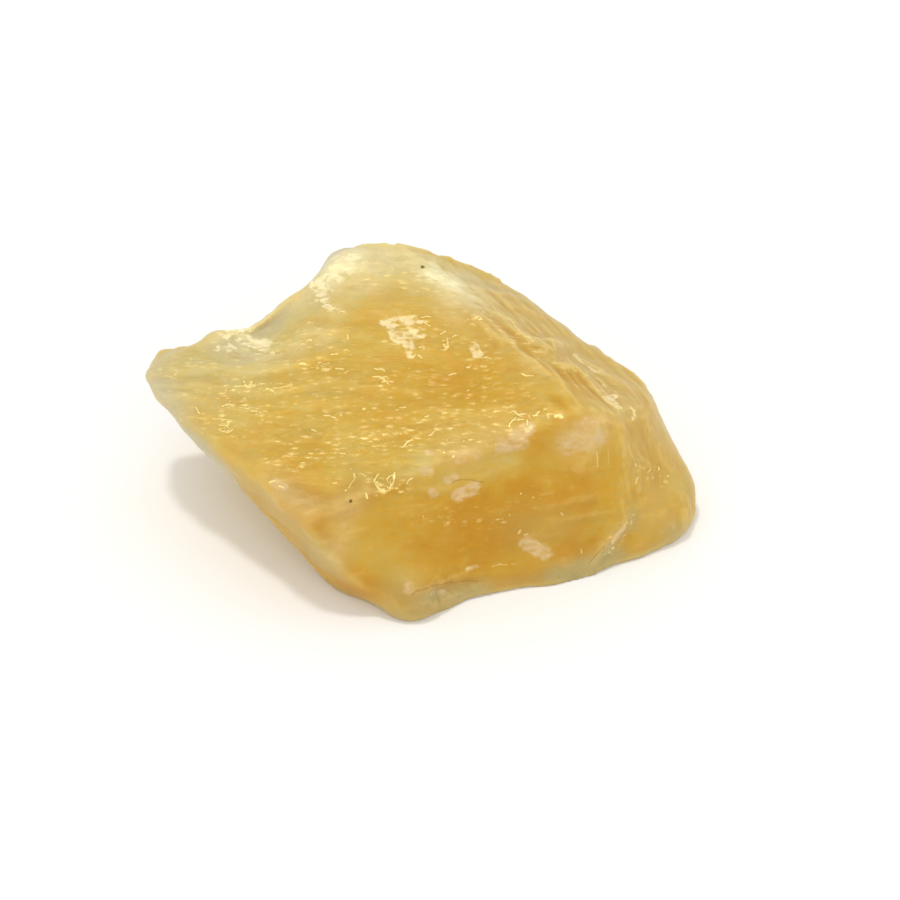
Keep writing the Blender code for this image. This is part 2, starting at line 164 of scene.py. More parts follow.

# Marks, by kind. Each has a radius, at which it is half as strong, a strength, and the paths of places
# that it lies along. "iron" deepens or lightens the honey, and "haze" is soft milky cloud under the skin.
# "grey" is thin clear stone, and along the foot, the low tip, the toes and the bottom rims it is painted
# shade. "thin" is a clear pale edge, "peach" is a warm pink cast, and "milk" and "chalk" are bright and
# dull bruises with crisp edges. "flakes" are glassy splinters, and "glints" is how thick the painted
# glints of the bright steps lie. "folds" is drapery whose crests are worn and painted paler, a painted
# highlight, and whose hollows are painted darker, a painted shade. "deep" is darker stone, and "striae"
# are upright streaks.
# A mark is named for its first path, and the others are more of the same elsewhere.
MARKS = {
    "iron": {
        "left tip": (4.2, -0.34, ((-28.5, -0.5, 17), (-20.5, 1, 17.5))),
        "upper left edge": (3.4, -0.24, ((-20, 3.5, 17), (-12, 8, 19.5), (-10, 14, 21.5))),
        "back edge": (3.4, -0.36, ((-8, 12.5, 22.5), (2.5, 10.5, 22))),
        "front terrace": (1.7, -0.22, ((0.5, -15, 14.5), (5, -14, 14), (9, -12, 14.5))),
        "honey middle": (4, 0.16, ((-2.5, -6, 17.5), (5, -4.5, 18.5))),
        "amber middle": (2.6, 0.14, ((4, -15, 11), (5.5, -16, 6), (3.5, -17, 5))),
        "amber toe": (2, 0.1, ((16, -14, 3.5),)),
        "amber tip": (1.6, 0.36, ((-7.6, -19.1, 2.7), (-5, -20.8, 3.3))),
        "foot groove": (0.5, 0.4, ((0.3, -21.1, 4), (5.8, -17.2, 1.7))),
        "foot rim": (1.4, 0.2, ((-2, -21, 0.3), (6, -17.3, 0.3), (16, -14, 0.3))),
        "front left": (2.6, -0.2, ((-9, -18.5, 13), (-8.5, -20, 9), (-3, -21, 4.5))),
        "front brow": (1.8, -0.12, ((-8.5, -19, 13), (-4, -17, 13), (2, -15.5, 12))),
        "left bevel": (3, 0.32, ((-17, -13, 9), (-13, -16, 6), (-9.5, -17, 2))),
        "left edge": (1.8, 0.32, ((-13.5, -17.5, 13.5), (-10.5, -20, 10.5), (-8, -20.5, 6))),
        "left brow": (1.6, 0.24, LEFT_BROW),
        "left corner": (1.3, -0.18, ((-10.7, -19.7, 12.2),)),
        # Painted shade: darker in a hollow of the folds.
        "fold hollow": (1.5, 0.22, ((16.2, -6.5, 18.7), (15.2, -8.3, 19))),
        "right edge": (1.5, 0.2, ((24.5, -2.9, 13.8), (26, -3.5, 10.5), (27.6, -4.4, 7.3))),
        "front deep": (1.4, 0.1, ((8.8, -14.9, 6.5), (9.9, -15, 5.2))),
        "foot left": (1.6, 0.14, ((-2.8, -21.2, 3.5), (1.4, -20.5, 2.6))),
        "warm back": (1.4, 0.12, ((-1.8, 5.3, 21), (0.9, 4.9, 20.8))),
        "left middle": (2.2, -0.08, ((-24.5, -5, 16), (-19, -6, 16.5))),
        "left low": (1.5, 0.36, ((-11.3, -17.7, 13.8), (-8.2, -18.3, 13.6))),
        "shoulder right": (2, 0.2, ((16.5, -3.5, 18), (19.5, -2.5, 16.5))),
        "right low": (3, -0.16, ((24, -9.5, 3.5),)),
        "front lines": (2, 0.09, ((5.5, -14.5, 10.5), (8.5, -14, 10), (14.5, -13, 9.5)),
            ((5, -15.5, 8), (10.5, -14.5, 7))),
        "back pale": (2.5, -0.14, ((-9, 17.5, 14), (2, 17, 14.5))),
        # The ridges of the shoulder's folds are painted paler, a painted highlight. Their valleys are
        # painted darker, a painted shade.
        "lit ridges": (0.42, -0.2, ((6, 6.7, 20.6), (8.4, 5.6, 20.2), (10, 4.3, 19.8), (12, 1.2, 19.7)),
            ((7, 2, 20.7), (8.3, 1, 20.5)),
            ((10.6, -0.9, 20), (12.1, -3.2, 20), (13.8, -4.7, 19.6)),
            ((12.9, 1.1, 19.5), (16, 3.6, 16.9), (18.2, 3.2, 15.5), (19.4, 0.6, 16.1)),
            ((14.2, -6.3, 19.4), (15.2, -7.6, 19.2), (16.5, -9.2, 18.8)),
            ((12.6, -6.9, 19.1), (13.7, -8.6, 19), (14.8, -9.6, 18.8))),
        "shaded valleys": (0.48, 0.21, ((8.4, 3.2, 20.3), (10.3, 1.8, 19.9), (11.7, 0.5, 19.7)),
            ((4.3, 6, 21.1), (6, 3, 20.7), (8.1, 0.3, 20.1)), ((13.2, 0.5, 19.5), (16, 3.4, 16.9)),
            ((12, -2.2, 20), (14.2, -4.1, 19.6)),
            ((14.7, -2.7, 18.8), (16.8, -4, 17.9), (18.9, -6.4, 17.4)),
            ((12.6, -7.8, 19), (14.1, -9.2, 18.9))),
        "amber spots": (1.05, 0.17, ((5.6, -15.9, 6),), ((8, -15.2, 6.3),),
            ((9.9, -12.8, 11.7), (11.4, -12.4, 11.4)), ((15.8, -14.1, 3.7),),
            ((-7.6, -19.1, 2.7), (-5.6, -20.4, 3.1))),
        "under brow": (1.6, -0.13, ((5.9, -12.9, 15.9), (10.4, -11.7, 14.5)),
            ((3.5, -14.4, 14), (6.1, -13.8, 13.2))),
        "brow": (1.8, 0.1, ((5, -11.5, 17), (6.5, -11.5, 17)),
            ((3, -15.5, 11.5), (6, -14.5, 10.5))),
        "honey": (2.4, 0.1, ((2, -1, 19), (6, -4, 18.5)), ((7.5, -3.5, 19.5), (9, -6.5, 18.5)),
            ((-15, -9, 16),), ((-12, -13, 15), (-15.5, -11.5, 15))),
        "back pools": (3.2, 0.24, ((-2, 19.5, 6), (5, 17.5, 6)),
            ((-14, 16, 5), (-16, 13.5, 9))),
        "right end": (2.3, -0.12, ((28.5, -5, 5),), ((19.5, -10.5, 14), (20, -12.5, 5))),
    },
    "haze": {
        "corner": (1.5, 1, ((-10.3, 10.6, 21.6), (-10, 12.8, 22), (-8.4, 12, 22.5))),
        "back streak bright": (1.1, 0.95, ((1.2, 10.6, 22), (3, 9.6, 21.4))),
        "back edge": (2, 0.46, ((-7, 12.6, 22.7), (-2, 12.4, 22.7)),
            ((-2, 12.6, 22.8), (0.3, 11, 22.3)), ((3.2, 9.5, 21.3), (4.3, 7, 21))),
        "corner low": (1.3, 0.2, ((-10.9, 9.9, 20.9), (-9.3, 5.6, 20.1)),
            ((-7.9, -18.7, 13), (-8.5, -20.2, 9.1), (-9.2, -20.4, 7.9)),
            ((-15.4, -15.2, 14.1), (-12, -18.6, 13.4))),
        "nick": (1.3, 0.33, ((-17.4, 6.2, 17.6), (-15.5, 7.7, 18.9), (-13.3, 9.1, 20)),
            ((-12.3, 3.9, 19.1), (-10.8, 2.5, 19.1)),
            ((-21.6, 4.2, 17.8), (-19.7, 3.8, 17.4), (-17.6, 4.6, 17.3)),
            ((-7, 8.4, 21.3), (-5.5, 9, 21.7)),
            ((-17.2, 1.7, 17.4), (-14.8, 2.3, 17.9), (-13.1, 2.4, 18.4))),
        "right": (1.8, 0.32, ((16, -10.5, 16), (18.5, -9.5, 16.5)), ((6, 8.5, 20.5),)),
    },
    # Grey along the foot, the low tip, the toes and the bottom rims is painted shade. It is greyer and
    # darker where less light reaches the low parts. Along the upper and left edges it is thin clear
    # stone.
    "grey": {
        "foot": (1.1, 0.8, ((0.4, -21, 3.2), (3, -19, 1.8), (6, -17.5, 1))),
        "tip": (2, 0.45, ((-2.5, -21, 3.5), (-1, -21.5, 2))),
        "toe left": (1.3, 0.75, ((14.5, -15.2, 1.2), (17.5, -14.2, 1.3), (19.5, -13.4, 1.8))),
        "edges": (2.3, 0.28, ((-27.5, 0, 17), (-21, 1, 17.5)),
            ((-27, -4.5, 13.5), (-18, -13.5, 10.5), (-12, -18.5, 6))),
        "left brow": (1.5, 0.38, LEFT_BROW, ((-10.7, -19.9, 9.5), (-9.1, -20.3, 7)),
            ((-12, -16.5, 5.5), (-9, -19.3, 5.5))),
        "rims": (0.9, 0.5, ((-9, -17.5, 0.8), (-4, -21, 0.8), (0, -21, 0.8), (6, -17.3, 0.4)),
            ((6, -17.3, 0.4), (16, -14.5, 0.4), (24, -11, 0.5), (28, -8, 1)),
            ((7, -16.9, 0.8), (14, -14.9, 0.7)), ((29.3, -5.5, 4), (29.3, -4, 6.5))),
        "toe": (1, 0.6, ((22.5, -10.8, 5.2), (21.2, -12, 4.4), (20.2, -12.6, 3)),
            ((17, -14.4, 1.2), (21, -12.6, 1.6)), ((26.7, -9.5, 2.6), (27.7, -8.9, 1.9))),
    },
    "thin": {
        "left rim": (1.5, 0.9,
            ((-28.6, -1.9, 16.4), (-27, -4.2, 15.6), (-23.6, -7.8, 12.8), (-21, -9.6, 11))),
        "back rim": (0.8, 0.4, ((5, 11.6, 20.8), (12, 10.5, 17.5), (20, 6, 15))),
        "upper rim": (1, 0.75,
            ((-29.5, -1, 16.2), (-26.5, 2.6, 16.4), (-22.5, 4, 16.6), (-18.2, 6, 17)),
            ((-18.2, 6, 17), (-15.2, 7.6, 18), (-12.6, 9.2, 19)),
            ((-12.6, 9.4, 19), (-11.2, 12.8, 20.8), (-8.5, 14.8, 21.6))),
    },
    "peach": {
        "shoulder": (4.5, 0.7, ((6, 8, 20.5), (14, 6, 18), (21, 0, 15.5))),
        "tip": (1.4, 0.3, ((-1.4, -20.9, 4.7),)),
        "top right": (2, 0.2, ((8, 1, 20.5), (12.5, -3.5, 20))),
        "brow": (1.8, 0.55, ((3, -13, 16.5), (8.5, -11, 17))),
        "left bevel": (2.6, 0.3, ((-19, -11, 13), (-12, -18, 9)),
            ((11.5, -14.5, 6.5), (13.5, -14, 6.5)), ((20.5, -4.5, 16), (24, -5, 13))),
        "right": (2.7, 0.48, ((25.5, -5, 9), (25, -8.5, 5)), ((8, 14, 8), (13, 10.5, 8.5))),
    },
    "milk": {
        "lozenge tip": (0.35, 0.7, ((11, -10.6, 17.5), (11.4, -10.5, 17.6))),
        "star": (0.5, 1.4, ((19.7, -4.6, 16.7), (20.7, -5.3, 16.3))),
        "star ray": (0.3, 1.2, ((20.1, -4.2, 16.4), (20.6, -3.3, 16.1))),
        "strip": (0.28, 1.1, ((13.5, -9.7, 18.5), (14.7, -9.9, 18.6))),
        "fold f": (0.34, 0.6, ((16.5, 3.3, 16.4), (17.3, 2.2, 16.3), (18.5, 0.7, 16.2), (19.6, 0.4, 16))),
        "triangle edges": (0.5, 1, ((-4.1, 4, 20.4), (-0.2, 4.2, 20.5)),
            ((-3.4, 3.2, 20.1), (-2.4, 1.8, 19.6)), ((-1.5, 1.2, 19.5), (-1.1, 0, 19.1)),
            ((5.5, 0.6, 19.7), (6, -0.5, 19.5)), ((22.4, -5.1, 15.3), (22.3, -5.3, 14.8)),
            ((-3, 18.5, 12.5), (-1, 18.3, 12.2))),
        "triangle middle": (0.85, 1, ((-2.5, 2.1, 19.8), (-0.6, 2.6, 20)),
            ((3, 17.5, 12), (4.5, 16.6, 11))),
    },
    "chalk": {
        "round low": (1.4, 0.62, ((15.5, -10.8, 15.6), (18.6, -10, 15.8))),
        "round high": (1.6, 0.62, ((17.5, -9.9, 17.4),)),
        "front line": (0.22, 0.9, ((4.8, -17, 3.6), (8.6, -16, 3.4))),
        "foot": (0.4, 0.5, ((0.5, -20.8, 3.6), (3.2, -18.7, 1.8))),
        "back bruise": (1.1, 0.95, ((-11.5, 16, 10), (-9.5, 17, 11.5))),
        "lozenge": (0.75, 1, ((8.4, -11.7, 16.1), (10.6, -11.3, 16.1)),
            ((9.8, -11.1, 16.7), (11.1, -10.5, 17.5)), ((3.9, -14.8, 12), (5.4, -14.2, 12.5)),
            ((11.1, -14.8, 5.3), (13.1, -14.8, 3.8))),
        "specks": (0.5, 0.85, ((0.8, -12.8, 16.1),), ((0.2, -14.7, 15.2), (0.9, -14.6, 15.1)),
            ((2.7, -14.6, 13.9), (3.5, -14.4, 14)), ((-15.4, -15.2, 14.1), (-14.3, -15.9, 13.9)),
            ((21.5, -11.8, 4.6), (20.6, -12.4, 3.4)), ((1, -15.4, 13.2), (1.4, -15.6, 12.7))),
        "brow": (0.8, 0.64, ((3.6, -13.3, 15.9), (5.6, -12.7, 15.7)), ((-1.4, -21, 4.7),)),
    },
    "flakes": {
        "corner": (1.3, 1, ((-8, 12.2, 22.4), (-9.6, 10.6, 21.7))),
        "corner low": (1, 1.1, ((-11.6, 10.3, 20.9), (-10.6, 9.2, 20.6), (-11, 8.4, 20.1))),
        "bump": (1.4, 0.95, ((-20.9, 5, 18.2), (-19.2, 5.3, 17.6), (-17.5, 3.8, 17.2))),
        "left fleck": (0.35, 1.1, ((-16.2, 2.1, 17.5),)),
        "tip": (1, 0.5, ((-27.8, -0.5, 16.7), (-25, 0.8, 17.3))),
        "edge": (0.9, 0.9, ((-10.6, 7.8, 20), (-8.9, 6.1, 20.4)), ((0.8, 10.1, 22.1), (3.5, 9.7, 21.2)),
            ((-22.2, 3.2, 17.2), (-20.4, 3.4, 17.2)), ((-6.9, 16.7, 20.1), (-1.3, 16.2, 18.9))),
    },
    "glints": {
        "top all": (7, 0.4, ((-22, -3, 17), (-8, -6, 17), (6, -6, 18))),
        "top front": (3, 0.66, ((-14, -12, 15), (-2, -11, 16), (9, -8.5, 17.5))),
        "top back": (3.5, 0.34, ((-13, 2, 18.5), (-2, 3, 20), (7, 2, 20))),
        "back face": (4.5, 0.45, ((-14, 14.5, 10), (-2, 18.5, 11), (9, 13, 9))),
        "right end": (3, 0.45, ((20, 7, 9.5), (27, 0, 6))),
        "nests": (0.95, 0.85,
            ((-22.7, -2.9, 16.8), (-20.5, -3.4, 17), (-16.9, -3.1, 17.4), (-14.3, -4.2, 17.4)),
            ((-21, -5.3, 16.4), (-19.5, -5.8, 16.5), (-16.6, -6.6, 16.6)),
            ((-21.2, -7, 15.9), (-20.1, -8.8, 15.5)),
            ((-14.4, -0.4, 18.2), (-12.3, -0.8, 18.1), (-8.1, -1.9, 18.3)),
            ((-5, -2.4, 18.4), (-3.7, -3.9, 18.2)), ((8.3, -8.8, 17.9), (13, -9.2, 18.6)),
            ((22.5, -10.8, 5.2), (20.2, -12.6, 3)),
            ((-5, -14.9, 15.1), (-4.3, -16.4, 14.5), (-1.8, -16, 14.3)),
            ((-12.9, -9.9, 15.6), (-10, -10.9, 15.5), (-2.9, -9.9, 16.6), (1.5, -10.8, 16.7))),
        "small nests": (0.7, 0.68, ((0.2, 4.6, 20.7), (1, 3.3, 20.2)), ((2.5, 2, 19.8), (3.5, 0.8, 19.6)),
            ((-10.3, 1.7, 18.9), (-8.1, 0.4, 18.9)), ((9.9, -4.5, 19.2), (10.9, -6.6, 18.8))),
        "back nests": (1.45, 0.78, ((-8, 18, 8), (-5, 18, 6)),
            ((5.6, 16.4, 10), (8, 14, 12))),
        "sides": (1, 0.5, ((23.3, -7.6, 10), (26, -6.6, 7.5)),
            ((0.1, -16.8, 10.8), (7.8, -14.7, 8.4), (11.8, -13, 10.1))),
        "edges": (1.7, 0.55, ((-24.5, 1, 17.5), (-18, 1.5, 17.5), (-12, 5, 19)),
            ((6, 4, 21), (13, 0, 19.5), (20.5, -3, 16)),
            ((-6, 10, 22.5), (1.5, 9, 22))),
    },
    "folds": {
        "shoulder": (4.5, 1, ((6, 7, 20.5), (12, 2, 19.5), (18.5, -3, 17))),
    },
    "deep": {
        "pools": (1.4, 1, ((-13.7, -8.7, 16), (-11.7, -9.2, 15.9)),
            ((-6.2, -15.8, 14.9), (-3.5, -15.6, 14.7), (-1, -15.4, 14.9))),
        "spots": (1.25, 0.7, ((-10.8, -3.4, 18), (-8.7, -3.6, 17.9)), ((-1.6, -12.8, 16),)),
        "front": (2, 0.65, ((-3, -21, 3.5), (1.5, -20.5, 2.5)),
            ((10.5, -14.5, 7), (18, -12.5, 6))),
    },
    "striae": {
        "front right": (2.2, 1, ((19, -10.5, 14.5), (19.5, -13, 4))),
    },
}
# Two dark specks: where each lies, and its radius.
DARK_SPECKS = {"back": ((0, 11.1, 22.3), 0.26), "front": ((-7.3, -18, 13.9), 0.19)}

# Single steps of the grain, painted in as glints that catch the light, a painted highlight: half the
# width of each, how bright it is, and the places it runs through, seen from above (X, Y). Those of
# FRONT_STEPS are seen from the front (X, Z).
STEPS = {
    "left tip": ((0.10, 1, (-19.6, -3), (-18.7, -3.1), (-19, -2.2)),
        (0.11, 1, (-18.1, -2.3), (-18.2, -3), (-17.8, -3.2)), (0.12, 0.9, (-17.3, -2.9), (-16.7, -3))),
    "left row": ((0.11, 1, (-16.8, -4), (-16.4, -3.7), (-15.8, -4.1)),
        (0.09, 0.8, (-15.6, -3.7), (-15.2, -3.8), (-14.5, -3.6), (-14, -3.7)),
        (0.11, 0.8, (-20.5, -4.8), (-20.3, -4.8)), (0.12, 1, (-21.2, -5.5), (-20.8, -5.3), (-19.9, -5.4)),
        (0.09, 0.8, (-19.3, -5.9), (-18.2, -6.2)), (0.09, 0.9, (-18.1, -6.4), (-17.4, -6.5)),
        (0.10, 0.8, (-19, -4.5), (-18.7, -4.6)), (0.10, 0.8, (-24, -5.2), (-23.6, -6.1))),
    "left nest": ((0.08, 0.8, (-22.2, -6.9), (-20.4, -7.2), (-20.3, -7.7)),
        (0.09, 0.9, (-21.5, -7.7), (-20.7, -7.8), (-20.4, -8.1)),
        (0.08, 0.8, (-21.4, -8.3), (-20.5, -8.7), (-19.9, -8.4))),
    "middle left": ((0.12, 0.9, (-14.6, -5.8)), (0.12, 1, (-13, -0.7), (-12.4, -0.6)),
        (0.09, 0.8, (-11.1, -0.5), (-10.7, -0.5)), (0.09, 0.8, (-10.4, -0.7), (-9.9, -0.6)),
        (0.09, 0.8, (-10.8, -1.1), (-10.3, -1.1)), (0.10, 0.9, (-10.3, -7.4), (-9.7, -7.5), (-9.1, -7.8)),
        (0.11, 0.9, (-11.6, -8.9), (-11.1, -9.2)), (0.10, 0.9, (-9.2, -1.5), (-8.3, -1.6))),
    "front lashes": ((0.10, 0.8, (-2.4, -7), (-1.6, -7)), (0.10, 0.9, (0.3, -8.4), (0.8, -8.3)),
        (0.10, 0.9, (-2.1, -9.6), (-1.8, -9.6)), (0.13, 0.9, (-1.8, -11.8), (-1.5, -11.3), (-1, -11.1)),
        (0.10, 0.9, (0.7, -10.7), (1.1, -10.6), (1.4, -10.2))),
    "middle right": ((0.12, 0.9, (2.7, -11.4)), (0.14, 0.9, (4.4, -11.6)),
        (0.11, 0.9, (4.9, -11.5), (5.3, -11.5)), (0.10, 0.9, (3.2, -2.7), (3.7, -2.6)),
        (0.12, 0.9, (4.9, -5.1))),
    "below the triangle": ((0.11, 0.9, (-0.3, 0.6), (0.2, 0.8), (0.2, 0.4)),
        (0.11, 0.9, (-0.4, -0.2), (0, -0.6)), (0.10, 0.8, (1.9, 0.3), (2.5, 0.3), (2.9, 0.7)),
        (0.08, 0.8, (6.1, -1), (7.1, -1.2)), (0.09, 0.9, (2.7, 1.9), (2.8, 1))),
    "low left": ((0.11, 0.8, (-11.9, -11.8), (-11.4, -11.8)), (0.10, 0.9, (-8.5, -12.1), (-8, -12.2)),
        (0.11, 0.9, (-12.7, -13), (-12.2, -13)), (0.11, 0.9, (-7.5, -14.2), (-7.3, -14.2)),
        (0.14, 0.8, (-7, -14.9), (-6.9, -15.4)), (0.11, 0.45, (-6.9, -15.4), (-7.5, -16.4)),
        (0.15, 0.8, (-7.8, -16.7)), (0.15, 0.65, (-6.2, -15), (-5.8, -15.3)),
        (0.13, 0.7, (-9.2, -15.7), (-8.8, -15.7)), (0.13, 0.9, (-5.7, -17.4), (-5.6, -17.6))),
    "low loop": ((0.11, 1, (-4.5, -15.1), (-4.9, -15.9)),
        (0.13, 1.1, (-4.7, -16.3), (-4.3, -16.8), (-3.9, -16.7), (-3.8, -16.5)),
        (0.08, 0.8, (-3.7, -16.6), (-1.8, -16.1), (-1.5, -15.9), (-1.3, -15.6), (-0.8, -15.4)),
        (0.09, 1.1, (-3.4, -15.9), (-3.6, -15.5), (-3.2, -15.1), (-2.9, -15), (-2.7, -14.7)),
        (0.09, 1.1, (-2.7, -14.7), (-2.9, -15.9), (-3.2, -16.2))),
    "right nest": ((0.10, 0.9, (9.5, -8.5), (10, -8.6)),
        (0.11, 1, (9.9, -8.8), (10.2, -9.1), (10.9, -9)), (0.14, 1, (12.4, -8.9), (12.1, -9.1)),
        (0.09, 0.8, (11.6, -9.3), (12.2, -9.4)), (0.08, 0.9, (10, -9.6), (10.7, -9.6)),
        (0.09, 0.9, (9.2, -10.2), (9.3, -9.8), (9.6, -9.5), (9.9, -9.4)),
        (0.12, 0.9, (11.1, -9.7), (11.1, -10.3))),
    "front right": ((0.14, 0.9, (2.4, -12.9)), (0.12, 0.9, (3.3, -13.3), (3.5, -13.2)),
        (0.12, 0.9, (7.8, -11.8), (7.9, -12)), (0.09, 0.8, (8.2, -11.7), (9.1, -11.3)),
        (0.10, 0.8, (9.9, -11.6), (10.1, -11.5))),
    "folds": ((0.10, 0.9, (5.7, 3.9), (5.8, 4.2), (6.2, 4.2), (6.5, 3.7), (6.2, 3.6), (5.9, 3.7)),
        (0.10, 0.6, (7.6, 7.1), (8.1, 6.2)), (0.15, 0.9, (8.3, 5.5), (8.9, 5.2), (9.7, 4.5)),
        (0.13, 0.5, (9.7, 4.5), (10.5, 2.7), (11.9, 1.3)), (0.10, 0.6, (5.6, 1.1), (6, 0.6)),
        (0.22, 0.8, (6.2, 0), (6.2, -0.5)), (0.11, 0.8, (16.4, 3.4), (17.4, 2))),
    "right of the middle": ((0.12, 0.9, (4.8, -1.9), (5.1, -2)), (0.10, 0.8, (6.8, -1), (7.4, -1.4)),
        (0.12, 0.9, (2.9, -2.8), (3.5, -2.6)), (0.10, 0.9, (2, 2.4), (2.6, 2.8)),
        (0.10, 0.8, (3.2, 2), (3.6, 2.2)), (0.10, 0.9, (2.3, 1), (2.6, 0.6), (2.9, 0.8))),
    "star": ((0.10, 1, (19.2, -4.5), (19.6, -4.6), (20.1, -5)), (0.26, 1, (20.1, -5), (20.5, -5.6)),
        (0.12, 0.9, (20.5, -5.8), (21, -5.1)), (0.20, 0.9, (22.4, -4.7), (22.7, -5.2))),
    "upper left": ((0.15, 1, (-16.4, 2), (-15.9, 1.9)), (0.12, 0.8, (-12.8, 3.7), (-12.4, 3.7)),
        (0.13, 0.8, (-13, 2.5), (-12.6, 2.4)), (0.13, 0.8, (-12.3, 2.8), (-11.9, 2.7)),
        (0.12, 0.9, (-8, 2.7), (-7.9, 2.3)), (0.11, 0.9, (-9.8, 0.4), (-9, 0.4))),
    "lone": ((0.10, 0.9, (-5.1, -1.7), (-4.7, -1.9), (-4.3, -1.8), (-3.9, -2.2)),
        (0.11, 1, (-5.2, -2.9), (-4.5, -2.9), (-3.7, -3.6), (-3.6, -3.9)),
        (0.08, 0.8, (-4.4, -3.8), (-3.8, -3.6)), (0.20, 1, (-6.1, -6.9)), (0.13, 0.9, (-8.5, -7.5)),
        (0.09, 1, (-0.1, 4.5), (0.5, 4.6), (1, 4.5)), (0.09, 0.9, (0.2, 3.9), (0.9, 3.4)),
        (0.12, 0.9, (10.6, -3.9), (11, -4.2), (11.9, -4.3)), (0.16, 1, (14, -9.8), (14.8, -9.9)),
        (0.13, 0.9, (-15.8, -15.1), (-15.3, -15.1)), (0.14, 0.9, (-14.9, -15.6), (-14.3, -15.9)),
        (0.14, 0.8, (-10.7, 7.2), (-10, 6.6), (-9.4, 6.7))),
}
FRONT_STEPS = (
    (0.11, 0.8, (0.2, 10.7)), (0.11, 0.9, (10.5, 10.7)), (0.11, 0.9, (11.8, 10.1)),
    (0.09, 0.6, (7.8, 8.4), (8.3, 8.4)), (0.10, 0.8, (25.4, 8.6), (25.5, 8.3)), (0.11, 0.9, (26.5, 7.4)),
    (0.10, 0.8, (26, 7.1)), (0.10, 0.6, (22.8, 10.6), (22.9, 10.3)), (0.13, 0.6, (23, 9.1), (22.9, 8.7)),
    (0.11, 0.18, (19.7, 13.9), (19.8, 12.6)), (0.12, 0.32, (18.5, 14.1), (18.6, 12.5)),
    (0.09, 0.6, (14.8, 8.1), (15, 7.8)), (0.10, 0.35, (7.5, 3.1), (8.3, 3.2), (9.1, 3)),
    (0.08, 0.3, (9.4, 3), (10.2, 3)), (0.14, 0.3, (4.8, 3.6), (5.4, 3.5)),
    (0.14, 0.7, (10.3, 6.5), (10.5, 6.8)), (0.12, 0.7, (10.9, 6.2), (11.3, 6.3)),
    (0.10, 0.6, (17, 3.5), (17.1, 3)), (0.10, 0.25, (11.2, 5.5), (12.4, 5.1), (13.1, 4.3)),
)
# Dark lines, drawn in the same way: under a bruise and along the foot.
DARK_STEPS = (
    (0.11, -0.5, (3.3, 13.6), (4.1, 13.8), (5.1, 13.6), (6.4, 12.9)),
    (0.11, -0.5, (-1, 3.9), (-0.4, 4.3), (1.1, 4.2), (3.4, 2.7), (6, 1.9)),
    (0.09, -0.6, (19.5, 3.3), (18.7, 2.7), (17.8, 1.8)),
)

# Steps of the top mark only skin that looks up by more than the first share. Steps of the front mark
# only skin that looks up by less than the second, and ahead by more than the third.
TOP_UP, FRONT_UP, FRONT_AHEAD = 0.6, 0.8, 0.3
FAR_OFF = 9.0  # farther than any step reaches

# ---------------- small helpers

MATH = "ShaderNodeMath"
VECTOR_MATH = "ShaderNodeVectorMath"
ROTATE = "ShaderNodeVectorRotate"
MAP_RANGE = "ShaderNodeMapRange"
NOISE = "ShaderNodeTexNoise"
MIX = "ShaderNodeMix"
ATTRIBUTE = "ShaderNodeAttribute"


def linear(hex_colour):
    """An sRGB hex colour as linear red, green, blue and alpha."""
    parts = [int(hex_colour[at : at + 2], 16) / 255.0 for at in (1, 3, 5)]
    return (*[p / 12.92 if p <= 0.04045 else ((p + 0.055) / 1.055) ** 2.4 for p in parts], 1.0)


def metres(place):
    """A place in mm as one in metres."""
    return Vector([part * MM for part in place])


def add(tree, kind, inputs=None, **settings):
    """Adds a node. Each input is a value, or the socket or the node that feeds it."""
    node = tree.nodes.new(kind)
    for name, value in settings.items():
        setattr(node, name, value)
    for key, value in (inputs or {}).items():
        if isinstance(value, bpy.types.Node):
            value = next(socket for socket in value.outputs if socket.enabled)
        if isinstance(value, bpy.types.NodeSocket):
            tree.links.new(value, node.inputs[key])
        else:
            node.inputs[key].default_value = value
    return node


def put_in_scene(name, data):
    """A new object that shows this mesh, light or camera."""
    thing = bpy.data.objects.new(name, data)
    bpy.context.scene.collection.objects.link(thing)
    return thing


def applied(piece):
    """Makes the piece's mesh what its modifiers show, and takes the modifiers off."""
    graph = bpy.context.evaluated_depsgraph_get()
    mesh = bpy.data.meshes.new_from_object(piece.evaluated_get(graph))
    piece.modifiers.clear()
    piece.data = mesh
    return piece


# ---------------- relief, by Geometry Nodes


def relief_sizes():
    """The inputs that the relief tree takes, and what each is given."""
    sizes = {}
    for name, (_, _, size, height, _) in LAYERS.items():
        sizes.update({name + " Size": size, name + " Height": height})
    for where, (_, spacing, step) in LEDGES.items():
        sizes.update({where + " Ledge Spacing": spacing, where + " Ledge Step": step})
    return sizes


